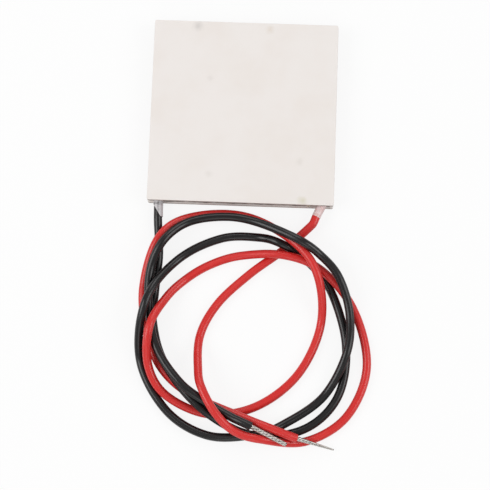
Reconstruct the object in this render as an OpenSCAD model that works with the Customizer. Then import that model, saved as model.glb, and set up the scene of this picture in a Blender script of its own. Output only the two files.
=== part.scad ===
// Thermoelectric cooling module with two insulated leads, lying on its hot plate.
// The origin is the middle of the underside, +Z is up and the leads leave the -Y edge. Millimetres.

/* [Ceramic plates] */
// Width of both plates, along the edge that the leads leave
plate_w = 40; // [36:0.5:44]
// Depth of both plates, back from that edge
plate_l = 40; // [30:0.5:50]
// Thickness of each plate
plate_t = 0.8; // [0.6:0.05:1.2]
// Radius on the upright corners of both plates
plate_corner_r = 0.4; // [0.2:0.05:1]

/* [Pellets and tabs] */
// Side of the square semiconductor pellets
pellet_w = 1.4; // [1:0.05:1.5]
// Height of the pellets
pellet_h = 1.5; // [1.2:0.05:2.5]
// Distance from one pellet's middle to the next
pellet_pitch = 2.35; // [2.2:0.05:3]
// Thickness of the copper tabs
tab_t = 0.3; // [0.2:0.05:0.5]
// How far a tab reaches past its pellets on each side
tab_lip = 0.1; // [0.05:0.05:0.2]
// Thickness of the solder between a pellet and a tab
solder_t = 0.1; // [0.05:0.05:0.2]
// How far the solder reaches past its pellet on each side
solder_lip = 0.05; // [0:0.01:0.05]
// Width of the two tabs that the leads are soldered to
lead_pad_w = 1.8; // [1.6:0.05:1.8]

/* [Edge seal] */
// How far the seal is set back from the plates' edges
seal_setback = 0.6; // [0.3:0.05:0.8]
// Thickness of the seal's wall
seal_t = 0.75; // [0.6:0.05:1]
// Least gap between the seal and the tabs
seal_clearance = 0.1; // [0.05:0.01:0.2]
// How far the lump of sealant at the front edge is from the red lead, towards the black one
seal_lump_gap = 2.8; // [2:0.1:10]

/* [Leads] */
// Diameter of the insulation
lead_d = 1.8; // [1.6:0.05:1.8]
// Diameter of the bare conductor inside the module
core_d = 1; // [0.8:0.05:1.1]
// How far the black lead leaves its pad's middle sideways, towards +X, at the plates' edge
black_exit_shift = 0; // [-0.3:0.05:0.5]
// How far the red lead leaves its pad's middle sideways, towards +X, at the plates' edge
red_exit_shift = -0.25; // [-0.5:0.05:0.3]
// Where the black insulation starts, out from the plates' edge
black_insulation_start = -0.3; // [-0.4:0.1:1]
// Where the red insulation starts, out from the plates' edge
red_insulation_start = 2.2; // [1.5:0.1:3]
// Diameter of the solder mound on each lead pad
joint_d = 2.1; // [1.6:0.05:2.4]
// How far each conductor runs past the middle of its pad
core_overrun = 0.3; // [0.1:0.05:0.5]

/* [Sleeves] */
// Diameter of the clear sleeve over the black lead
black_sleeve_d = 2.1; // [2.05:0.01:2.2]
// Reach of that sleeve's long side, out from the plates' edge
black_sleeve_reach = 3.3; // [2.5:0.1:3.8]
// How much shorter its other side is cut
black_sleeve_slant = 2.7; // [0.5:0.1:3]
// Diameter of the milky sleeve over the red lead's bare stretch
red_sleeve_d = 1.9; // [1.6:0.05:2.1]
// Gap between a sleeve's bore and the insulation in it
sleeve_clearance = 0.02; // [0:0.01:0.05]

/* [Stripped ends] */
// Diameter of one strand of the twisted, tinned ends
strand_d = 0.36; // [0.3:0.01:0.4]
// Length in which a strand turns once round the bundle
strand_lay = 4.5; // [3:0.1:8]
// Size of the red end's tip, as a share of the bundle
red_tip_taper = 0.35; // [0.2:0.05:1]
// Size of the black end's tip, as a share of the bundle
black_tip_taper = 0.9; // [0.2:0.05:1]

/* [Hidden] */

ceramic_colour = "whitesmoke";
copper_colour = "peru";
solder_colour = "silver";
seal_colour = "lightgray";
sleeve_colour = "mistyrose";

// Heights of the layers, from the surface that the module lies on.
hot_tab_z = plate_t;
hot_solder_z = hot_tab_z + tab_t;
pellet_z = hot_solder_z + solder_t;
cold_solder_z = pellet_z + pellet_h;
cold_tab_z = cold_solder_z + solder_t;
cold_plate_z = cold_tab_z + tab_t;
gap_h = cold_plate_z - plate_t;
exit_z = plate_t + gap_h / 2;

// The pellets stand on a square grid with an even count each way, as many as fit inside the seal.
// Row 0 is at the leads' edge and column 0 at -X. The front corners of the grid take the leads.
tab_w = pellet_w + 2 * tab_lip;
seal_inset = seal_setback + seal_t;
field_w = plate_w - 2 * (seal_inset + seal_clearance);
field_l = plate_l - 2 * (seal_inset + seal_clearance);
cols = 2 * floor(((field_w - tab_w) / pellet_pitch + 1) / 2);
rows = 2 * floor(((field_l - tab_w) / pellet_pitch + 1) / 2);
function col_x(c) = (c - (cols - 1) / 2) * pellet_pitch;
function row_y(r) = (r - (rows - 1) / 2) * pellet_pitch;
function holds_pellet(c, r) = r > 0 || (c > 0 && c < cols - 1);

// Points on the leads' middle lines, from the middle of the plates' front edge and the surface
// below. The last point of each is the tip of its stripped end, the one before it the end of its
// insulation. Where one lead passes over another its height goes up.
lead_sides = 8;
steps_per_point = 2;
front_y = -plate_l / 2;
black_route = [
    [-17.5, -4, exit_z], [-17, -11.5, 0.9], [-17.5, -19.5, 0.9], [-17.5, -26.5, 1.8],
    [-14.5, -35, 2.5], [-6.5, -44, 3.2], [4, -49, 0.9], [15, -47.5, 0.9], [22, -40.5, 0.9],
    [23.5, -29.5, 0.9], [20, -18, 0.9], [14.5, -11.5, 1.2], [9, -8.5, 3.4], [4, -7, 1.4],
    [-4, -7.5, 0.9], [-13, -12.5, 1.3], [-19, -22, 5.8], [-20, -34, 1], [-14, -44.5, 0.9],
    [-5, -49.5, 1.7], [5, -49, 3.1], [11, -46.5, 1.7], [19, -40.5, 0.9], [23.5, -31.5, 3.3],
    [24, -23, 2.8], [21.5, -15.5, 4.1], [17.5, -11, 4.8], [12.5, -8, 6.6], [3.5, -4, 3.5],
    [-3.5, -3, 2.7], [-11, -4.5, 2.9], [-16, -9, 4.7], [-18.5, -15, 3.4], [-18.5, -22.5, 3.3],
    [-16.5, -31.5, 4.1], [-11, -39, 5.1], [-5, -43, 4.2], [-0.5, -45.5, 4.7],
    [4, -47.5, 5.6], [11.5, -51, 4.9]];
red_route = [
    [15.5, -4, exit_z], [9.5, -9.5, 0.9], [2.5, -15, 0.9], [-4, -21.5, 0.9], [-7.5, -28.5, 0.9],
    [-7.5, -36, 4], [-6.5, -40, 5.8], [-3.5, -45, 6.1], [0.5, -48.5, 4.9], [6, -50, 4.6],
    [15.5, -50, 0.9], [24, -44.5, 0.9], [28, -34, 0.9], [25, -22, 0.9], [18, -14, 2.8],
    [10, -11, 3.3], [1, -11, 1.2], [-5.5, -13, 0.9], [-11, -16.5, 0.9], [-15, -21, 3],
    [-18, -27.5, 5.9], [-18, -35.5, 3.3], [-14, -41.5, 1.7], [-5, -45, 0.9], [5, -43, 0.9],
    [13.5, -36, 0.9], [18, -25.5, 0.9], [17, -15.5, 4.8], [12, -8.5, 4.7], [1.5, -2.5, 0.9],
    [-10.5, -3, 1], [-17, -8, 3.4], [-20, -18, 0.9], [-19, -27.5, 0.9], [-15.5, -35.5, 0.9],
    [-9, -41, 1.1], [2, -45.5, 3.5], [7.5, -47.5, 4.5], [13.5, -49.5, 3.5], [21.5, -51.5, 0.6]];

// Where each lead crosses the plates' edge, and the level direction that it leaves in.
black_pad = [col_x(0), row_y(0), exit_z];
red_pad = [col_x(cols - 1), row_y(0), exit_z];
black_exit = [black_pad.x + black_exit_shift, front_y, exit_z];
red_exit = [red_pad.x + red_exit_shift, front_y, exit_z];
function level(v) = [v.x, v.y, 0] / norm([v.x, v.y, 0]);
function on_bench(p) = [p.x, p.y + front_y, p.z];
black_out = level(on_bench(black_route[0]) - black_exit);
red_out = level(on_bench(red_route[0]) - red_exit);
// A point on the lead's straight first stretch, a given way out from the plates' edge.
function beyond_edge(exit, out, reach) = exit + out * reach / -out.y;

// A square sheet with rounded upright corners.
module rounded_sheet(w, l, r, h) {
    linear_extrude(h) {
        square([w - 2 * r, l], center = true);
        square([w, l - 2 * r], center = true);
        for (x = [-1, 1], y = [-1, 1]) {
            translate([x * (w / 2 - r), y * (l / 2 - r)]) circle(r, $fn = 32);
        }
    }
}

// A round bar from point a to point b.
module rod(a, b, d) {
    v = b - a;
    translate(a)
        rotate([0, acos(v.z / norm(v)), atan2(v.y, v.x)])
            cylinder(h = norm(v), d = d, $fn = 48);
}

// A block over the grid places (c0, r0) to (c1, r1) that reaches w / 2 past their middles.
module grid_block(c0, r0, c1, r1, w, z, h) {
    translate([col_x(c0) - w / 2, row_y(r0) - w / 2, z])
        cube([col_x(c1) - col_x(c0) + w, row_y(r1) - row_y(r0) + w, h]);
}

// The tab under a lead's grid corner. It carries the lead in row 0 and a pellet in row 1.
module lead_pad(c) {
    translate([col_x(c) - lead_pad_w / 2, row_y(0) - tab_w / 2, hot_tab_z])
        cube([lead_pad_w, pellet_pitch + tab_w, tab_t]);
}

// Every second pellet, as on a chessboard: each tab joins one of each sort.
module pellets(parity) {
    for (c = [0 : cols - 1], r = [0 : rows - 1]) {
        if (holds_pellet(c, r) && (c + r) % 2 == parity) {
            grid_block(c, r, c, r, pellet_w, pellet_z, pellet_h);
        }
    }
}

module solder_layer(z) {
    for (c = [0 : cols - 1], r = [0 : rows - 1]) {
        if (holds_pellet(c, r)) {
            grid_block(c, r, c, r, pellet_w + 2 * solder_lip, z, solder_t);
        }
    }
}

// Bare conductor: from its pad to the middle of the seal, where it turns to the lead's direction
// with a slight swell from the bending.
elbow_swell = 1.02;
function elbow(exit, out) = beyond_edge(exit, out, -seal_setback - seal_t / 2);
module core_run(pad, exit, out, start) {
    turn = elbow(exit, out);
    inward = (pad - turn) / norm(pad - turn);
    rod(turn, pad + inward * core_overrun, core_d);
    translate(turn) sphere(d = core_d * elbow_swell, $fn = 48);
    rod(turn, beyond_edge(exit, out, start), core_d);
}

// A mound of solder on the pad, cut to the pad's outline, with room for the conductor.
module solder_joint(pad, exit, out, start) {
    difference() {
        intersection() {
            translate([pad.x, pad.y, hot_solder_z + core_d / 2]) sphere(d = joint_d, $fn = 48);
            translate([pad.x - lead_pad_w / 2, pad.y - tab_w / 2, hot_solder_z])
                cube([lead_pad_w, tab_w, gap_h - 2 * tab_t]);
        }
        core_run(pad, exit, out, start);
    }
}

// The outer form of a sleeve, from just past the conductor's turn outwards.
module sleeve_form(exit, out, reach, d) {
    rod(elbow(exit, out) + out * core_d / 4, beyond_edge(exit, out, reach), d);
}
// A bore right through a sleeve for the conductor.
module core_bore(exit, out, reach) {
    rod(elbow(exit, out), beyond_edge(exit, out, reach + core_d), core_d);
}

// The seal's wall all round, with a passage for each sleeve and conductor.
module seal_wall() {
    w = plate_w - 2 * seal_setback;
    l = plate_l - 2 * seal_setback;
    translate([0, 0, plate_t]) difference() {
        rounded_sheet(w, l, plate_corner_r, gap_h);
        translate([0, 0, -gap_h])
            rounded_sheet(w - 2 * seal_t, l - 2 * seal_t, plate_corner_r, 3 * gap_h);
    }
}

// A curve through p1 and p2, with its slopes there taken from the neighbours p0 and p3.
function spline(p0, p1, p2, p3, t) =
    0.5 * (2 * p1 + (p2 - p0) * t + (2 * p0 - 5 * p1 + 4 * p2 - p3) * t * t
        + (3 * p1 - p0 - 3 * p2 + p3) * t * t * t);
// A lead rests on the surface and never sinks into it.
function above_surface(p) = [p.x, p.y, max(p.z, lead_d / 2)];
// The insulation's middle line: straight out of the sleeve, then on through the route's points.
function middle_line(start, route) = let (p = concat([start], [for (q = route) on_bench(q)])) concat(
    [start],
    [for (i = [1 : len(p) - 3], s = [0 : steps_per_point - 1])
        above_surface(spline(p[i - 1], p[i], p[i + 1], p[i + 2], s / steps_per_point))],
    [p[len(p) - 2]]);

// A tube along the points, its first end square to the exit and its last square to the tip.
module swept_lead(start, route) {
    line = middle_line(start, route);
    ends = concat(line, [on_bench(route[len(route) - 1])]);
    last = len(line) - 1;
    rings = [for (i = [0 : last]) let (
            ahead = i == last ? ends[i + 1] - ends[i] : i == 0 ? ends[1] - ends[0]
                : ends[i + 1] - ends[i - 1],
            forward = ahead / norm(ahead),
            level_side = cross(forward, [0, 0, 1]),
            side = level_side / norm(level_side),
            up = cross(side, forward))
        [for (k = [0 : lead_sides - 1]) let (a = (k + 0.5) * 360 / lead_sides)
            line[i] + lead_d / 2 * (cos(a) * side + sin(a) * up)]];
    polyhedron(
        points = [for (ring = rings, p = ring) p],
        faces = concat(
            [[for (k = [lead_sides - 1 : -1 : 0]) k]],
            [[for (k = [0 : lead_sides - 1]) last * lead_sides + k]],
            [for (i = [0 : last - 1], k = [0 : lead_sides - 1]) let (n = (k + 1) % lead_sides)
                [i * lead_sides + k, i * lead_sides + n,
                 (i + 1) * lead_sides + n, (i + 1) * lead_sides + k]]));
}

// Six strands laid round a seventh, twisted from the end of the insulation to the tip.
module twisted_strands(route, taper) {
    from = on_bench(route[len(route) - 2]);
    v = on_bench(route[len(route) - 1]) - from;
    pack = 0.92; // neighbouring strands are pressed into each other by the tinning
    translate(from)
        rotate([0, acos(v.z / norm(v)), atan2(v.y, v.x)])
            linear_extrude(norm(v), twist = -360 * norm(v) / strand_lay, slices = 34, scale = taper) {
                circle(d = strand_d, $fn = 12);
                for (k = [0 : 5]) {
                    rotate(60 * k) translate([strand_d * pack, 0]) circle(d = strand_d, $fn = 8);
                }
            }
}

module hot_plate() {
    color(ceramic_colour) rounded_sheet(plate_w, plate_l, plate_corner_r, plate_t);
}

module cold_plate() {
    color(ceramic_colour)
        translate([0, 0, cold_plate_z]) rounded_sheet(plate_w, plate_l, plate_corner_r, plate_t);
}

// Lower tabs join the pellets of a column two by two, from the front row back.
module hot_tabs() {
    color(copper_colour) for (c = [0 : cols - 1], r = [0 : 2 : rows - 2]) {
        if (holds_pellet(c, r)) {
            grid_block(c, r, c, r + 1, tab_w, hot_tab_z, tab_t);
        }
    }
}

// Upper tabs are shifted by one row. At the back and front rows they step to the next column, so
// the current runs up one column and down the next, from one lead's corner to the other's.
module cold_tabs() {
    color(copper_colour) {
        for (c = [0 : cols - 1], r = [1 : 2 : rows - 3]) {
            grid_block(c, r, c, r + 1, tab_w, cold_tab_z, tab_t);
        }
        for (c = [0 : 2 : cols - 2]) {
            grid_block(c, rows - 1, c + 1, rows - 1, tab_w, cold_tab_z, tab_t);
        }
        for (c = [1 : 2 : cols - 3]) {
            grid_block(c, 0, c + 1, 0, tab_w, cold_tab_z, tab_t);
        }
    }
}

module black_lead_pad() {
    color(copper_colour) lead_pad(0);
}

module red_lead_pad() {
    color(copper_colour) lead_pad(cols - 1);
}

module p_pellets() {
    color("dimgray") pellets(1);
}

module n_pellets() {
    color("slategray") pellets(0);
}

module hot_solder() {
    color(solder_colour) solder_layer(hot_solder_z);
}

module cold_solder() {
    color(solder_colour) solder_layer(cold_solder_z);
}

// The seal with its lump, less what passes through it.
module edge_seal() {
    color(seal_colour) difference() {
        union() {
            seal_wall();
            translate([red_exit.x - seal_lump_gap, front_y + seal_setback, exit_z]) sphere(r = seal_setback, $fn = 48);
        }
        sleeve_form(black_exit, black_out, black_sleeve_reach, black_sleeve_d);
        sleeve_form(red_exit, red_out, red_insulation_start, red_sleeve_d);
        core_run(black_pad, black_exit, black_out, 0);
        core_run(red_pad, red_exit, red_out, 0);
    }
}

module black_core_end() {
    color(solder_colour) core_run(black_pad, black_exit, black_out, black_insulation_start);
}

module red_core_end() {
    color(solder_colour) core_run(red_pad, red_exit, red_out, red_insulation_start);
}

module black_solder_joint() {
    color(solder_colour) solder_joint(black_pad, black_exit, black_out, 0);
}

module red_solder_joint() {
    color(solder_colour) solder_joint(red_pad, red_exit, red_out, 0);
}

// Clear sleeve round the conductor and the start of the insulation, its end cut at a slant.
module black_sleeve() {
    insulation_from = beyond_edge(black_exit, black_out, black_insulation_start);
    past_end = beyond_edge(black_exit, black_out, black_sleeve_reach + black_sleeve_d);
    slant = atan2(black_sleeve_slant, 0.75 * black_sleeve_d);
    color(sleeve_colour) difference() {
        sleeve_form(black_exit, black_out, black_sleeve_reach, black_sleeve_d);
        core_bore(black_exit, black_out, black_insulation_start);
        rod(insulation_from, past_end, lead_d + 2 * sleeve_clearance);
        translate(beyond_edge(black_exit, black_out, black_sleeve_reach))
            rotate(atan2(black_out.y, black_out.x) + 90)
                translate([black_sleeve_d / 4, 0, -exit_z])
                    rotate(180 - slant) cube([3 * black_sleeve_reach, 3 * black_sleeve_reach, 2 * exit_z]);
    }
}

// Milky sleeve round the bare conductor, up to the cut end of the insulation.
module red_sleeve() {
    color(sleeve_colour) difference() {
        sleeve_form(red_exit, red_out, red_insulation_start, red_sleeve_d);
        core_bore(red_exit, red_out, red_insulation_start);
    }
}

module black_lead() {
    color("black") swept_lead(beyond_edge(black_exit, black_out, black_insulation_start), black_route);
}

module red_lead() {
    color("firebrick") swept_lead(beyond_edge(red_exit, red_out, red_insulation_start), red_route);
}

module black_tinned_end() {
    color(solder_colour) twisted_strands(black_route, black_tip_taper);
}

module red_tinned_end() {
    color(solder_colour) twisted_strands(red_route, red_tip_taper);
}

hot_plate();
cold_plate();
hot_tabs();
cold_tabs();
black_lead_pad();
red_lead_pad();
p_pellets();
n_pellets();
hot_solder();
cold_solder();
edge_seal();
black_core_end();
red_core_end();
black_solder_joint();
red_solder_joint();
black_sleeve();
red_sleeve();
black_lead();
red_lead();
black_tinned_end();
red_tinned_end();
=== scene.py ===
import math

import bmesh
import bpy
import numpy as np
from mathutils import Matrix, Vector


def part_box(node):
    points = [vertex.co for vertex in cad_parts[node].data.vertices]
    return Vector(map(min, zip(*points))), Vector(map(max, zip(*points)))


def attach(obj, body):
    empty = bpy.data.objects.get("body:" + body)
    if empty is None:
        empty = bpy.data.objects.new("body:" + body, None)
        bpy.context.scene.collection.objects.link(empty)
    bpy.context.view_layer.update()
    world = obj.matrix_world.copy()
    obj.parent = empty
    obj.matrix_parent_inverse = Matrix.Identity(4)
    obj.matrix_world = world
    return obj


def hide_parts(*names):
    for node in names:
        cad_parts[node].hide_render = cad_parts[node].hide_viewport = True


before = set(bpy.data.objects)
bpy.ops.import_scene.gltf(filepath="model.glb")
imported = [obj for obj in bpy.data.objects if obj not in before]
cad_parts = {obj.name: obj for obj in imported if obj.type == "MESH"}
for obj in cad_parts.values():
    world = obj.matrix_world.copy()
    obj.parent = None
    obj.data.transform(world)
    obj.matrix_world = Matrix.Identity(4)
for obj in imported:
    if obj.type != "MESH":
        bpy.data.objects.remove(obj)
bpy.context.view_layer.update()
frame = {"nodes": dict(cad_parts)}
print("frame loaded:", len(frame["nodes"]), "nodes")

mm = 0.001
coldLow, coldHigh = [np.array(v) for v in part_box("cold_plate")]
hotLow, hotHigh = [np.array(v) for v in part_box("hot_plate")]
frontY = float(hotLow[1])
exitZ = float(hotHigh[2] + coldLow[2]) / 2


# Camera.

cameraSetup = dict(
    place=(0.0052305, -0.0833763, 0.3178146),
    right=(0.99933, 0.03618, -0.00604),
    up=(-0.03462, 0.98475, 0.17050),
    lens=110.2,
    sensor=36.0,
)

cameraData = bpy.data.cameras.new("camera")
cameraData.lens = cameraSetup["lens"]
cameraData.sensor_width = cameraSetup["sensor"]
cameraData.clip_start = 0.01
cameraData.clip_end = 20
camera = bpy.data.objects.new("camera", cameraData)
bpy.context.scene.collection.objects.link(camera)
rightWay = Vector(cameraSetup["right"]).normalized()
backWay = rightWay.cross(Vector(cameraSetup["up"])).normalized()
upWay = backWay.cross(rightWay)
turn = Matrix((rightWay, upWay, backWay)).transposed().to_4x4()
camera.matrix_world = Matrix.Translation(cameraSetup["place"]) @ turn
bpy.context.scene.camera = camera
print("camera set")


# Surfaces from grids.

def gridMesh(name, grid, capStart=True, capEnd=True, uv=None):
    # A closed skin over a grid of points, rings down and places round across.
    # Each cap is a fan of triangles to the middle of its ring.
    rings, places = grid.shape[:2]
    points = grid.reshape(-1, 3)
    a = np.arange(rings - 1)[:, None] * places
    k = np.arange(places)[None, :]
    n = (k + 1) % places
    quads = np.stack([a + k, a + n, a + places + n, a + places + k], -1).reshape(-1, 4)
    faces = quads.tolist()
    turnRound = np.arange(places)
    extra = []
    if capStart:
        extra.append(grid[0].mean(0))
        mid = len(points) + len(extra) - 1
        faces += np.stack([np.full(places, mid), (turnRound + 1) % places, turnRound], -1).tolist()
    if capEnd:
        extra.append(grid[-1].mean(0))
        mid = len(points) + len(extra) - 1
        base = (rings - 1) * places
        faces += np.stack([np.full(places, mid), base + turnRound, base + (turnRound + 1) % places], -1).tolist()
    if extra:
        points = np.vstack([points, np.array(extra)])
    mesh = bpy.data.meshes.new(name)
    mesh.from_pydata(points.tolist(), [], faces)
    if uv is not None:
        layer = mesh.uv_layers.new(name="surfaceMap")
        pad = np.zeros((len(points) - len(uv.reshape(-1, 2)), 2))
        flat = np.vstack([uv.reshape(-1, 2), pad])
        loopPoint = np.zeros(len(mesh.loops), int)
        mesh.loops.foreach_get("vertex_index", loopPoint)
        layer.data.foreach_set("uv", flat[loopPoint].ravel())
    mesh.shade_smooth()
    return mesh


def placePiece(name, mesh, material, replaced=()):
    # Puts a mesh in the scene as a named piece that rides on the module.
    piece = bpy.data.objects.new(name, mesh)
    bpy.context.scene.collection.objects.link(piece)
    mesh.materials.append(material)
    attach(piece, "root")
    if replaced:
        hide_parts(*replaced)
    return piece


def sharpen(mesh, angle=35):
    # Marks edges sharper than the angle, so that smooth shading keeps them crisp.
    mesh.set_sharp_from_angle(angle=math.radians(angle))


# Materials.

def newMaterial(name, **values):
    # A material with its Principled shader's plain values set by socket name.
    material = bpy.data.materials.new(name)
    material.use_nodes = True
    shader = material.node_tree.nodes["Principled BSDF"]
    for socket, value in values.items():
        shader.inputs[socket.replace("_", " ")].default_value = value
    return material, material.node_tree.nodes, material.node_tree.links, shader


def makeCloudGroup():
    # Soft cloudy mask: noise at a given scale, stretched between two limits to 0..1.
    group = bpy.data.node_groups.new("cloudMask", "ShaderNodeTree")
    face = group.interface
    face.new_socket("Vector", in_out="INPUT", socket_type="NodeSocketVector")
    for label, value in (("Scale", 100.0), ("Detail", 3.0), ("Low", 0.4), ("High", 0.7)):
        face.new_socket(label, in_out="INPUT", socket_type="NodeSocketFloat").default_value = value
    face.new_socket("Mask", in_out="OUTPUT", socket_type="NodeSocketFloat")
    nodes, links = group.nodes, group.links
    start, end = nodes.new("NodeGroupInput"), nodes.new("NodeGroupOutput")
    noise, limit = nodes.new("ShaderNodeTexNoise"), nodes.new("ShaderNodeMapRange")
    limit.interpolation_type = "SMOOTHSTEP"
    links.new(start.outputs["Vector"], noise.inputs["Vector"])
    links.new(start.outputs["Scale"], noise.inputs["Scale"])
    links.new(start.outputs["Detail"], noise.inputs["Detail"])
    links.new(noise.outputs["Fac"], limit.inputs["Value"])
    links.new(start.outputs["Low"], limit.inputs["From Min"])
    links.new(start.outputs["High"], limit.inputs["From Max"])
    links.new(limit.outputs["Result"], end.inputs["Mask"])
    return group


def makeSpotGroup():
    # Soft smudge: 1 at a place on the face, falling to 0 at a radius, ragged by noise.
    group = bpy.data.node_groups.new("smudgeSpot", "ShaderNodeTree")
    face = group.interface
    face.new_socket("Vector", in_out="INPUT", socket_type="NodeSocketVector")
    face.new_socket("Place", in_out="INPUT", socket_type="NodeSocketVector")
    face.new_socket("Radius", in_out="INPUT", socket_type="NodeSocketFloat").default_value = 0.001
    face.new_socket("Strength", in_out="INPUT", socket_type="NodeSocketFloat").default_value = 0.3
    face.new_socket("Mask", in_out="OUTPUT", socket_type="NodeSocketFloat")
    nodes, links = group.nodes, group.links
    start, end = nodes.new("NodeGroupInput"), nodes.new("NodeGroupOutput")
    away = nodes.new("ShaderNodeVectorMath")
    away.operation = "DISTANCE"
    noise = nodes.new("ShaderNodeTexNoise")
    noise.inputs["Scale"].default_value = 900
    noise.inputs["Detail"].default_value = 3
    ragged = nodes.new("ShaderNodeMath")
    ragged.operation = "MULTIPLY_ADD"
    ragged.inputs[1].default_value = 0.0012
    fall = nodes.new("ShaderNodeMapRange")
    fall.interpolation_type = "SMOOTHSTEP"
    fall.inputs["From Min"].default_value = 0.0004
    fall.inputs["To Min"].default_value = 1
    fall.inputs["To Max"].default_value = 0
    times = nodes.new("ShaderNodeMath")
    times.operation = "MULTIPLY"
    links.new(start.outputs["Vector"], away.inputs[0])
    links.new(start.outputs["Place"], away.inputs[1])
    links.new(start.outputs["Vector"], noise.inputs["Vector"])
    links.new(noise.outputs["Fac"], ragged.inputs[0])
    links.new(away.outputs["Value"], ragged.inputs[2])
    widen = nodes.new("ShaderNodeMath")
    widen.operation = "ADD"
    widen.inputs[1].default_value = 0.0006
    links.new(start.outputs["Radius"], widen.inputs[0])
    links.new(ragged.outputs[0], fall.inputs["Value"])
    links.new(widen.outputs[0], fall.inputs["From Max"])
    links.new(fall.outputs["Result"], times.inputs[0])
    links.new(start.outputs["Strength"], times.inputs[1])
    links.new(times.outputs[0], end.inputs["Mask"])
    return group


cloudGroup = makeCloudGroup()
spotGroup = makeSpotGroup()


def addGroup(nodes, links, group, vector, **values):
    # Places a shared node group, fed by a vector and plain values.
    node = nodes.new("ShaderNodeGroup")
    node.node_tree = group
    links.new(vector, node.inputs["Vector"])
    for label, value in values.items():
        node.inputs[label].default_value = value
    return node.outputs["Mask"]


def mixColours(nodes, links, mask, first, second):
    # Mixes two colours, plain or linked, by a mask.
    mix = nodes.new("ShaderNodeMix")
    mix.data_type = "RGBA"
    if hasattr(mask, "links"):
        links.new(mask, mix.inputs["Factor"])
    else:
        mix.inputs["Factor"].default_value = mask
    for socket, value in ((mix.inputs[6], first), (mix.inputs[7], second)):
        if hasattr(value, "links"):
            links.new(value, socket)
        else:
            socket.default_value = (*value, 1)
    return mix.outputs[2]


def addBump(nodes, links, shader, height, strength, distance):
    # Feeds a height to the shader's normal through a Bump node.
    bump = nodes.new("ShaderNodeBump")
    bump.inputs["Strength"].default_value = strength
    bump.inputs["Distance"].default_value = distance
    links.new(height, bump.inputs["Height"])
    links.new(bump.outputs["Normal"], shader.inputs["Normal"])


ceramicLook = dict(
    face=(0.86, 0.815, 0.785),
    warm=(0.84, 0.785, 0.745),
    # edge: painted shade, the dark brown mixed into the plates' side faces
    edge=(0.33, 0.28, 0.25),
    smudges=[  # x, y in mm, radius, strength, colour
        (-10.6, 18.9, 1.6, 0.45, (0.50, 0.47, 0.45)),
        (5.0, 18.6, 1.3, 0.40, (0.66, 0.55, 0.44)),
        (-7.4, 7.2, 1.1, 0.25, (0.62, 0.57, 0.54)),
        (12.4, -10.7, 1.3, 0.25, (0.62, 0.57, 0.52)),
        (-6.9, -13.9, 1.2, 0.25, (0.64, 0.59, 0.55)),
        (13.3, -19.2, 1.5, 0.55, (0.60, 0.56, 0.36)),
    ],
)


def makeCeramic():
    # Unglazed alumina: warm white, faint clouds and smudges, fine grain, and painted shade on the side faces,
    # which are mixed toward dark brown the more upright they stand.
    material, nodes, links, shader = newMaterial("aluminaCeramic", Roughness=0.5, IOR=1.6)
    where = nodes.new("ShaderNodeTexCoord")
    spot = where.outputs["Object"]
    clouds = addGroup(nodes, links, cloudGroup, spot, Scale=140, Detail=4, Low=0.35, High=0.8)
    colour = mixColours(nodes, links, clouds, ceramicLook["face"], ceramicLook["warm"])
    top = float(coldHigh[2])
    for x, y, radius, strength, tint in ceramicLook["smudges"]:
        node = nodes.new("ShaderNodeGroup")
        node.node_tree = spotGroup
        links.new(spot, node.inputs["Vector"])
        node.inputs["Place"].default_value = (x * mm, y * mm, top)
        node.inputs["Radius"].default_value = radius * mm
        node.inputs["Strength"].default_value = strength
        colour = mixColours(nodes, links, node.outputs["Mask"], colour, tint)
    # Painted shade: faces whose normal is near level (the plates' sides) are mixed most of the way to the edge
    # colour.
    split = nodes.new("ShaderNodeSeparateXYZ")
    links.new(where.outputs["Normal"], split.inputs[0])
    upright = nodes.new("ShaderNodeMath")
    upright.operation = "ABSOLUTE"
    links.new(split.outputs["Z"], upright.inputs[0])
    side = nodes.new("ShaderNodeMapRange")
    side.inputs["From Min"].default_value = 0.3
    side.inputs["From Max"].default_value = 0.75
    side.inputs["To Min"].default_value = 0.75
    side.inputs["To Max"].default_value = 0.0
    links.new(upright.outputs[0], side.inputs["Value"])
    colour = mixColours(nodes, links, side.outputs["Result"], colour, ceramicLook["edge"])
    links.new(colour, shader.inputs["Base Color"])
    grain = nodes.new("ShaderNodeTexNoise")
    grain.inputs["Scale"].default_value = 6000
    grain.inputs["Detail"].default_value = 2
    links.new(spot, grain.inputs["Vector"])
    addBump(nodes, links, shader, grain.outputs["Fac"], 0.15, 0.00002)
    return material


insulationLooks = dict(
    black=dict(base=(0.006, 0.005, 0.0055), dusty=(0.022, 0.020, 0.021), rough=0.30),
    red=dict(base=(0.66, 0.022, 0.020), dusty=(0.74, 0.060, 0.052), rough=0.32),
)


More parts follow.
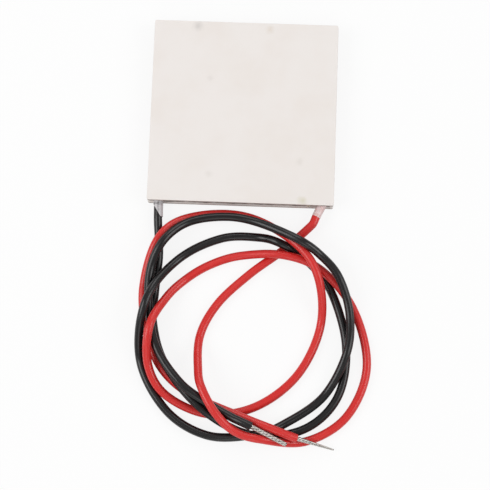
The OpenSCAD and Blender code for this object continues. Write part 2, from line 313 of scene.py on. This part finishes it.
def makeInsulation(name, look):
    # Extruded PVC: faint streaks along the lead, a little dust, a soft shine.
    material, nodes, links, shader = newMaterial(name, Roughness=look["rough"], IOR=1.5)
    uv = nodes.new("ShaderNodeUVMap")
    uv.uv_map = "surfaceMap"
    stretch = nodes.new("ShaderNodeMapping")
    stretch.inputs["Scale"].default_value = (0.04, 9, 1)
    links.new(uv.outputs["UV"], stretch.inputs["Vector"])
    streaks = addGroup(nodes, links, cloudGroup, stretch.outputs[0],
        Scale=1.5, Detail=3, Low=0.4, High=0.75)
    where = nodes.new("ShaderNodeTexCoord")
    dust = addGroup(nodes, links, cloudGroup, where.outputs["Object"],
        Scale=700, Detail=4, Low=0.5, High=0.85)
    both = nodes.new("ShaderNodeMath")
    both.operation = "MULTIPLY_ADD"
    both.inputs[1].default_value = 0.45
    links.new(streaks, both.inputs[0])
    half = nodes.new("ShaderNodeMath")
    half.operation = "MULTIPLY"
    half.inputs[1].default_value = 0.35
    links.new(dust, half.inputs[0])
    links.new(half.outputs[0], both.inputs[2])
    colour = mixColours(nodes, links, both.outputs[0], look["base"], look["dusty"])
    links.new(colour, shader.inputs["Base Color"])
    rough = nodes.new("ShaderNodeMapRange")
    rough.inputs["To Min"].default_value = look["rough"] - 0.05
    rough.inputs["To Max"].default_value = look["rough"] + 0.14
    links.new(both.outputs[0], rough.inputs["Value"])
    links.new(rough.outputs["Result"], shader.inputs["Roughness"])
    wave = nodes.new("ShaderNodeTexNoise")
    wave.inputs["Scale"].default_value = 420
    wave.inputs["Detail"].default_value = 1
    links.new(where.outputs["Object"], wave.inputs["Vector"])
    addBump(nodes, links, shader, wave.outputs["Fac"], 0.25, 0.00012)
    return material


def makeCloudy(name, first, second, scale, roughness, metallic=0.0, bump=0.2, depth=0.0001,
        low=0.35, high=0.7):
    # Two mixed tones in soft clouds with a bump of the same scale.
    material, nodes, links, shader = newMaterial(name, Roughness=roughness, Metallic=metallic)
    where = nodes.new("ShaderNodeTexCoord").outputs["Object"]
    mask = addGroup(nodes, links, cloudGroup, where, Scale=scale, Detail=4, Low=low, High=high)
    links.new(mixColours(nodes, links, mask, first, second), shader.inputs["Base Color"])
    addBump(nodes, links, shader, mask, bump, depth)
    return material


def makeTinned():
    # Bright tin on the strands' crowns, and painted shade in the grooves between them: near black where a strand
    # faces the axis.
    material, nodes, links, shader = newMaterial("tinnedStrands", Roughness=0.25, Metallic=0.85)
    crown = nodes.new("ShaderNodeAttribute")
    crown.attribute_name = "crown"
    depth = nodes.new("ShaderNodeMapRange")
    depth.interpolation_type = "SMOOTHSTEP"
    depth.inputs["From Min"].default_value = 0.35
    depth.inputs["From Max"].default_value = 0.92
    links.new(crown.outputs["Fac"], depth.inputs["Value"])
    where = nodes.new("ShaderNodeTexCoord").outputs["Object"]
    tarnish = addGroup(nodes, links, cloudGroup, where, Scale=1800, Detail=3, Low=0.4, High=0.75)
    bright = mixColours(nodes, links, tarnish, (0.90, 0.87, 0.82), (0.60, 0.56, 0.50))
    # Painted shade for the grooves between the strands.
    grooveShade = (0.030, 0.026, 0.022)
    colour = mixColours(nodes, links, depth.outputs["Result"], grooveShade, bright)
    links.new(colour, shader.inputs["Base Color"])
    addBump(nodes, links, shader, tarnish, 0.2, 0.00003)
    return material


ceramic = makeCeramic()
tinnedStrand = makeTinned()
blackPvc = makeInsulation("blackInsulation", insulationLooks["black"])
redPvc = makeInsulation("redInsulation", insulationLooks["red"])
tinned = makeCloudy("tinnedStrands", (0.86, 0.84, 0.80), (0.62, 0.60, 0.56), 2500, 0.28, 0.9, 0.3, 0.00003)
solderMetal = makeCloudy("dullSolder", (0.55, 0.55, 0.56), (0.42, 0.42, 0.43), 1200, 0.42, 1.0)
copperMetal = makeCloudy("copperTab", (0.72, 0.38, 0.22), (0.55, 0.28, 0.17), 900, 0.4, 1.0)
pellet = makeCloudy("sawnPellet", (0.12, 0.12, 0.13), (0.18, 0.18, 0.20), 1500, 0.5, 0.7)
# Edge seal: dark grey-brown, far darker than the pale drop of the same sealant; the tone is painted shade of the
# gap between the plates.
sealInShade = makeCloudy("sealantPaintedShade", (0.16, 0.125, 0.11), (0.24, 0.20, 0.175), 900, 0.55, 0.0, 0.5, 0.0002)
redSleeveSkin = makeCloudy("milkyRedSleeve", (0.84, 0.70, 0.70), (0.76, 0.52, 0.50), 900, 0.25)
blackSleeveSkin = makeCloudy("milkyBlackSleeve", (0.60, 0.58, 0.59), (0.16, 0.155, 0.16), 700,
    0.25, low=0.5, high=0.72)
blob = makeCloudy("sealantDrop", (0.62, 0.58, 0.44), (0.52, 0.48, 0.36), 1600, 0.4)
print("materials made")


# Leads.

leadSizes = dict(
    across=1.8,
    sides=28,
    ringsPerPoint=14,
    blackStart=-0.3,
    redStart=2.2,
    blackExitX=-17.625,
    redExitX=17.375,
)

# Middle lines in mm, from the middle of the front edge and the surface below.
blackRoute = [
    (-17.5, -4, 1.95), (-17, -11.5, 0.9), (-17.5, -19.5, 0.9), (-17.5, -26.5, 1.8),
    (-14.5, -35, 2.5), (-6.5, -44, 3.2), (4, -49, 0.9), (15, -47.5, 0.9), (22, -40.5, 0.9),
    (23.5, -29.5, 0.9), (20, -18, 0.9), (14.5, -11.5, 1.2), (9, -8.5, 3.4), (4, -7, 1.4),
    (-4, -7.5, 0.9), (-13, -12.5, 1.3), (-19, -22, 5.8), (-20, -34, 1), (-14, -44.5, 0.9),
    (-5, -49.5, 1.7), (5, -49, 3.1), (11, -46.5, 1.7), (19, -40.5, 0.9), (23.5, -31.5, 3.3),
    (24, -23, 2.8), (21.5, -15.5, 4.1), (17.5, -11, 4.8), (12.5, -8, 6.6), (3.5, -4, 3.5),
    (-3.5, -3, 2.7), (-11, -4.5, 2.9), (-16, -9, 4.7), (-18.5, -15, 3.4), (-18.5, -22.5, 3.3),
    (-16.5, -31.5, 4.1), (-11, -39, 5.1), (-5, -43, 4.2), (-0.5, -45.5, 4.7),
    (4, -47.5, 5.6), (11.5, -51, 4.9)]
redRoute = [
    (15.5, -4, 1.95), (9.5, -9.5, 0.9), (2.5, -15, 0.9), (-4, -21.5, 0.9), (-7.5, -28.5, 0.9),
    (-7.5, -36, 4), (-6.5, -40, 5.8), (-3.5, -45, 6.1), (0.5, -48.5, 4.9), (6, -50, 4.6),
    (15.5, -50, 0.9), (24, -44.5, 0.9), (28, -34, 0.9), (25, -22, 0.9), (18, -14, 2.8),
    (10, -11, 3.3), (1, -11, 1.2), (-5.5, -13, 0.9), (-11, -16.5, 0.9), (-15, -21, 3),
    (-18, -27.5, 5.9), (-18, -35.5, 3.3), (-14, -41.5, 1.7), (-5, -45, 0.9), (5, -43, 0.9),
    (13.5, -36, 0.9), (18, -25.5, 0.9), (17, -15.5, 4.8), (12, -8.5, 4.7), (1.5, -2.5, 0.9),
    (-10.5, -3, 1), (-17, -8, 3.4), (-20, -18, 0.9), (-19, -27.5, 0.9), (-15.5, -35.5, 0.9),
    (-9, -41, 1.1), (2, -45.5, 3.5), (7.5, -47.5, 4.5), (13.5, -49.5, 3.5), (21.5, -51.5, 0.6)]


def levelWay(exitX, route):
    # Level direction in which a lead leaves the plates' edge.
    way = np.array([route[0][0] - exitX, route[0][1], 0.0])
    return way / np.linalg.norm(way)


def middleLine(route, exitX, startReach, perPoint):
    # A spline through the route whose slope at a point comes from its two neighbours. Its
    # first stretch starts straight out, and no point is nearer to the surface than half the lead.
    way = levelWay(exitX, route)
    exitPoint = np.array([exitX, 0, exitZ / mm])
    p = np.vstack([exitPoint + way * startReach / -way[1], np.array(route, float)])
    t = (np.arange(perPoint) / perPoint)[None, :, None]
    a, b, c, d = p[:-3, None], p[1:-2, None], p[2:-1, None], p[3:, None]
    curve = 0.5 * (2 * b + (c - a) * t + (2 * a - 5 * b + 4 * c - d) * t ** 2
        + (3 * b - a - 3 * c + d) * t ** 3)
    u = (np.arange(perPoint) / perPoint)[:, None]
    reach = np.linalg.norm(p[1] - p[0])
    intoFirst = (p[2] - p[0]) / np.linalg.norm(p[2] - p[0]) * reach
    first = (p[0] * (1 - 3 * u ** 2 + 2 * u ** 3) + p[1] * (3 * u ** 2 - 2 * u ** 3)
        + way * reach * (u - 2 * u ** 2 + u ** 3) + intoFirst * (u ** 3 - u ** 2))
    line = np.vstack([first, curve.reshape(-1, 3), p[-2]])
    line[:, 2] = np.maximum(line[:, 2], leadSizes["across"] / 2)
    return (line + [0, frontY / mm, 0]) * mm


def sideWays(line, lastAhead=None):
    # Unit directions ahead, to the side and up at each point of a line.
    ahead = np.gradient(line, axis=0)
    if lastAhead is not None:
        ahead[-1] = lastAhead
    ahead /= np.linalg.norm(ahead, axis=1)[:, None]
    side = np.cross(ahead, [0, 0, 1.0])
    side /= np.linalg.norm(side, axis=1)[:, None]
    return ahead, side, np.cross(side, ahead)


def sweptTube(line, radius, sides, lastAhead=None):
    # A circle carried square along a line: grid of rings, and its map of length and turn.
    ahead, side, up = sideWays(line, lastAhead)
    turnRound = np.arange(sides) * 2 * np.pi / sides
    radius = np.broadcast_to(radius, len(line))[:, None, None]
    ring = np.cos(turnRound)[None, :, None] * side[:, None] + np.sin(turnRound)[None, :, None] * up[:, None]
    step = np.linalg.norm(np.diff(line, axis=0), axis=1)
    length = np.concatenate([[0], np.cumsum(step)]) * 1000
    uv = np.stack(np.broadcast_arrays(length[:, None], turnRound[None] / (2 * np.pi)), -1)
    return line[:, None] + radius * ring, uv


def leadPiece(name, route, exitX, startReach, material):
    # One lead's insulation, its ends cut square.
    line = middleLine(route, exitX, startReach, leadSizes["ringsPerPoint"])
    tip = (np.array(route[-1]) + [0, frontY / mm, 0]) * mm
    radius = np.full(len(line), leadSizes["across"] / 2 * mm)
    grid, uv = sweptTube(line, radius, leadSizes["sides"], tip - line[-1])
    mesh = gridMesh(name, grid, uv=uv)
    sharpen(mesh, 50)
    piece = placePiece(name, mesh, material, (name[:-len("_insulation")],))
    return piece, line


blackLead, blackLine = leadPiece("black_lead_insulation", blackRoute, leadSizes["blackExitX"],
    leadSizes["blackStart"], blackPvc)
redLead, redLine = leadPiece("red_lead_insulation", redRoute, leadSizes["redExitX"],
    leadSizes["redStart"], redPvc)


strandSizes = dict(
    across=0.36,
    packing=0.92,
    lay=4.5,
    sides=10,
    rings=90,
    blackTaper=0.90,
    redTaper=0.35,
    unevenEnds=0.02,
    tipFrom=0.97,
    tipNarrowing=0.8,
)


def twistedEnd(name, line, route, taper, node):
    # Six tinned strands laid round a seventh. Each is a tube along a helix about the
    # straight line to the tip, and the helix narrows evenly by the taper.
    s = strandSizes
    start = line[-1]
    tip = (np.array(route[-1]) + [0, frontY / mm, 0]) * mm
    along = np.linspace(0, 1, s["rings"])
    length = np.linalg.norm(tip - start)
    way = (tip - start) / length
    side = np.cross(way, [0, 0, 1.0])
    side /= np.linalg.norm(side)
    up = np.cross(side, way)
    shrink = 1 + (taper - 1) * along
    parts = []
    for strand in range(7):
        reach = 0 if strand == 0 else s["across"] * s["packing"] * mm
        ends = 1 - s["unevenEnds"] * ((strand * 3) % 7) / 7
        at = along * ends
        angle = 2 * np.pi * (strand / 6 + at * length / mm / s["lay"])
        roundWay = np.cos(angle)[:, None] * side + np.sin(angle)[:, None] * up
        centre = start + way * (at * length)[:, None] + (reach * shrink)[:, None] * roundWay
        radius = s["across"] / 2 * mm * shrink * np.where(along > s["tipFrom"], s["tipNarrowing"], 1.0)
        grid, _ = sweptTube(centre, radius, s["sides"])
        parts.append(grid)
    rings, sides = parts[0].shape[:2]
    allPoints, allFaces, grooves, base = [], [], [], 0
    for grid in parts:
        part = gridMesh("strand", grid)
        points = np.zeros(len(part.vertices) * 3)
        part.vertices.foreach_get("co", points)
        points = points.reshape(-1, 3)
        ring = points[:rings * sides].reshape(rings, sides, 3)
        middle = ring.mean(1)
        # How much each point faces out from the axis, kept as the crown attribute; the tinned material paints
        # shade where it faces in.
        axisPoint = start + way * ((middle - start) @ way)[:, None]
        outward = middle - axisPoint
        outward /= np.maximum(np.linalg.norm(outward, axis=1), 1e-9)[:, None]
        facing = ((ring - middle[:, None]) * outward[:, None]).sum(-1)
        facing /= np.linalg.norm(ring - middle[:, None], axis=2) + 1e-9
        grooves.append(np.concatenate([facing.ravel(), np.zeros(len(points) - rings * sides)]))
        allPoints.append(points)
        allFaces += [tuple(v + base for v in f.vertices) for f in part.polygons]
        base += len(part.vertices)
        bpy.data.meshes.remove(part)
    mesh = bpy.data.meshes.new(name)
    mesh.from_pydata(np.vstack(allPoints).tolist(), [], allFaces)
    mesh.attributes.new("crown", "FLOAT", "POINT").data.foreach_set("value", np.concatenate(grooves))
    mesh.shade_smooth()
    return placePiece(name, mesh, tinnedStrand, (node,))


blackEnd = twistedEnd("black_strands", blackLine, blackRoute, strandSizes["blackTaper"], "black_tinned_end")
redEnd = twistedEnd("red_strands", redLine, redRoute, strandSizes["redTaper"], "red_tinned_end")


def lineLength(line):
    return float(np.linalg.norm(np.diff(line, axis=0), axis=1).sum())


nodes = frame["nodes"]
print("leads laid:", round(lineLength(blackLine), 4), round(lineLength(redLine), 4))


# Plates.

plateLook = dict(cornerRadius=0.4, easedEdge=0.07, cornerSteps=8)


def roundedSquare(halfWidth, halfLength, radius, steps):
    # Outline of a square with rounded corners, corner by corner as quarter circles.
    turnRound = np.linspace(0, np.pi / 2, steps)
    corners = [(1, 1, 0), (-1, 1, 1), (-1, -1, 2), (1, -1, 3)]
    return np.vstack([np.stack([
        sx * (halfWidth - radius) + radius * np.cos(turnRound + q * np.pi / 2),
        sy * (halfLength - radius) + radius * np.sin(turnRound + q * np.pi / 2)], -1)
        for sx, sy, q in corners])


def platePiece(name, low, high, node):
    # A ceramic plate: its outline carried up the eased edge profile and in over both faces.
    look = plateLook
    half = (high - low) / 2
    centre = (high + low) / 2
    ease = look["easedEdge"] * mm
    bend = np.linspace(0, np.pi / 2, 5)
    inset = np.concatenate([[6 * ease], ease * (1 - np.sin(bend)), ease * (1 - np.sin(bend))[::-1], [6 * ease]])
    rise = np.concatenate([[low[2]], low[2] + ease * (1 - np.cos(bend)),
        high[2] - ease * (1 - np.cos(bend))[::-1], [high[2]]])
    rings = []
    for away, z in zip(inset, rise):
        radius = max(look["cornerRadius"] * mm - away, 0.02 * mm)
        outline = roundedSquare(half[0] - away, half[1] - away, radius, look["cornerSteps"]) + centre[:2]
        rings.append(np.column_stack([outline, np.full(len(outline), z)]))
    mesh = gridMesh(name, np.array(rings))
    sharpen(mesh, 40)
    return placePiece(name, mesh, ceramic, (node,))


platePiece("hot_ceramic", hotLow, hotHigh, "hot_plate")
platePiece("cold_ceramic", coldLow, coldHigh, "cold_plate")
print("plates made")


# Edge seal.

sealLook = dict(setback=0.32, ripple=0.12, thickness=1.2, places=420, swell=0.18)


def sealPiece():
    # The bead between the plates: a closed profile carried round a rounded square, its
    # outer face swelling at mid height and wandering in and out by three mixed waves.
    look = sealLook
    half = (coldHigh - coldLow) / 2
    low, high = float(hotHigh[2]), float(coldLow[2])
    outline = roundedSquare(half[0] - look["setback"] * mm, half[1] - look["setback"] * mm, 0.5 * mm, 12)
    loop = np.vstack([outline, outline[:1]])
    step = np.concatenate([[0], np.cumsum(np.linalg.norm(np.diff(loop, axis=0), axis=1))])
    at = np.linspace(0, step[-1], look["places"], endpoint=False)
    path = np.stack([np.interp(at, step, loop[:, 0]), np.interp(at, step, loop[:, 1])], -1)
    ahead = np.roll(path, -1, axis=0) - np.roll(path, 1, axis=0)
    ahead /= np.linalg.norm(ahead, axis=1)[:, None]
    outward = np.stack([ahead[:, 1], -ahead[:, 0]], -1)
    turns = at / step[-1] * 2 * np.pi
    waves = 0.5 * np.sin(23 * turns) + 0.3 * np.sin(57 * turns + 1) + 0.2 * np.sin(131 * turns + 2)
    wander = look["ripple"] * mm * waves
    heights = np.linspace(0, 1, 9)
    bulge = look["swell"] * mm * (4 * heights * (1 - heights) - 0.4)
    outer = path[:, None] + outward[:, None] * (wander[:, None] + bulge[None])[..., None]
    z = np.broadcast_to(low + (high - low) * heights, (len(path), 9))
    outerFace = np.concatenate([outer, z[..., None]], -1)
    inner = path[:, None] - outward[:, None] * look["thickness"] * mm
    innerHeights = np.stack([z[:, -1], z[:, 0]], 1)[..., None]
    innerFace = np.concatenate([np.broadcast_to(inner, (len(path), 2, 2)), innerHeights], -1)
    grid = np.concatenate([outerFace, innerFace], 1)
    grid = np.concatenate([grid, grid[:1]], 0)
    mesh = gridMesh("seal_bead", grid, capStart=False, capEnd=False)
    work = bmesh.new()
    work.from_mesh(mesh)
    bmesh.ops.remove_doubles(work, verts=work.verts, dist=1e-7)
    bmesh.ops.recalc_face_normals(work, faces=work.faces)
    work.to_mesh(mesh)
    work.free()
    sharpen(mesh, 60)
    return placePiece("seal_bead", mesh, sealInShade, ("edge_seal",))


sealPiece()

dropLook = dict(x=14.6, across=1.1, high=1.5, halfDepth=0.45)


def dropPiece():
    # A drop of pale sealant at the front edge: a ball squashed along two axes, its outline
    # pushed out a little by a wave round it.
    look = dropLook
    rise = np.linspace(0.02, np.pi - 0.02, 14)
    turnRound = np.arange(24) * 2 * np.pi / 24
    ripple = 1 + 0.08 * np.sin(3 * turnRound + 1)
    x = np.sin(rise)[:, None] * np.cos(turnRound)[None] * ripple * look["across"] / 2
    y = np.sin(rise)[:, None] * np.sin(turnRound)[None] * look["halfDepth"]
    z = -np.cos(rise)[:, None] * np.ones(24)[None] * look["high"] / 2
    centre = np.array([look["x"] * mm, frontY + look["halfDepth"] * mm, exitZ])
    grid = np.stack([x, y, z], -1) * mm + centre
    return placePiece("seal_drop", gridMesh("seal_drop", grid), blob)


dropPiece()
print("seal made")


# Carried-over pieces.

carried = {
    "hot_tabs": copperMetal, "cold_tabs": copperMetal, "black_lead_pad": copperMetal,
    "red_lead_pad": copperMetal, "p_pellets": pellet, "n_pellets": pellet,
    "hot_solder": solderMetal, "cold_solder": solderMetal, "black_core_end": tinned,
    "red_core_end": tinned, "black_solder_joint": solderMetal, "red_solder_joint": solderMetal,
    "black_sleeve": blackSleeveSkin, "red_sleeve": redSleeveSkin,
}
for name, material in carried.items():
    mesh = nodes[name].data
    mesh.materials.clear()
    mesh.materials.append(material)


# Floor and light.

stageLook = dict(size=6.0, paleness=0.90, ownLight=0.86, world=0.40)


def makeFloor():
    # A wide flat floor, partly self-lit for the camera so that it comes out white.
    half = stageLook["size"] / 2
    mesh = bpy.data.meshes.new("floor")
    corners = [(-half, -half, 0), (half, -half, 0), (half, half, 0), (-half, half, 0)]
    mesh.from_pydata(corners, [], [(0, 1, 2, 3)])
    floor = bpy.data.objects.new("floor", mesh)
    bpy.context.scene.collection.objects.link(floor)
    material = bpy.data.materials.new("paleFloor")
    material.use_nodes = True
    nodes, links = material.node_tree.nodes, material.node_tree.links
    shader = nodes["Principled BSDF"]
    shader.inputs["Base Color"].default_value = (*[stageLook["paleness"]] * 3, 1)
    shader.inputs["Roughness"].default_value = 0.9
    shader.inputs["Specular IOR Level"].default_value = 0
    glow = nodes.new("ShaderNodeEmission")
    glow.inputs["Color"].default_value = (1, 1, 1, 1)
    seen = nodes.new("ShaderNodeLightPath")
    share = nodes.new("ShaderNodeMath")
    share.operation = "MULTIPLY"
    share.inputs[1].default_value = stageLook["ownLight"]
    most = nodes.new("ShaderNodeMath")
    most.operation = "MAXIMUM"
    links.new(seen.outputs["Is Camera Ray"], most.inputs[0])
    links.new(seen.outputs["Is Transmission Ray"], most.inputs[1])
    links.new(most.outputs[0], share.inputs[0])
    mix = nodes.new("ShaderNodeMixShader")
    links.new(share.outputs[0], mix.inputs[0])
    links.new(shader.outputs[0], mix.inputs[1])
    links.new(glow.outputs[0], mix.inputs[2])
    links.new(mix.outputs[0], nodes["Material Output"].inputs["Surface"])
    mesh.materials.append(material)


makeFloor()

world = bpy.data.worlds.new("studio")
bpy.context.scene.world = world
world.use_nodes = True
worldNodes, worldLinks = world.node_tree.nodes, world.node_tree.links
sky = worldNodes["Background"]
sky.inputs["Color"].default_value = (1, 1, 1, 1)
path = worldNodes.new("ShaderNodeLightPath")
level = worldNodes.new("ShaderNodeMapRange")
level.inputs["To Min"].default_value = stageLook["world"]
level.inputs["To Max"].default_value = 1.0
worldLinks.new(path.outputs["Is Camera Ray"], level.inputs["Value"])
worldLinks.new(level.outputs["Result"], sky.inputs["Strength"])

lampLook = [  # name, place in m, size, power in W
    ("leftPanel", (-0.55, -0.10, 0.50), 0.45, 2.3),
    ("rightPanel", (0.60, -0.05, 0.50), 0.45, 1.9),
    ("backPanel", (0.05, 0.60, 0.45), 0.45, 1.2),
    ("frontPanel", (-0.05, -0.70, 0.45), 0.45, 0.8),
]
for name, place, size, power in lampLook:
    lamp = bpy.data.lights.new(name, "AREA")
    lamp.shape = "SQUARE"
    lamp.size = size
    lamp.energy = power
    item = bpy.data.objects.new(name, lamp)
    bpy.context.scene.collection.objects.link(item)
    item.location = place
    item.rotation_euler = (Vector(place) - Vector((0, -0.03, 0))).to_track_quat("Z", "Y").to_euler()
bpy.context.scene.view_settings.view_transform = "Standard"
print("stage lit")

bpy.context.view_layer.update()
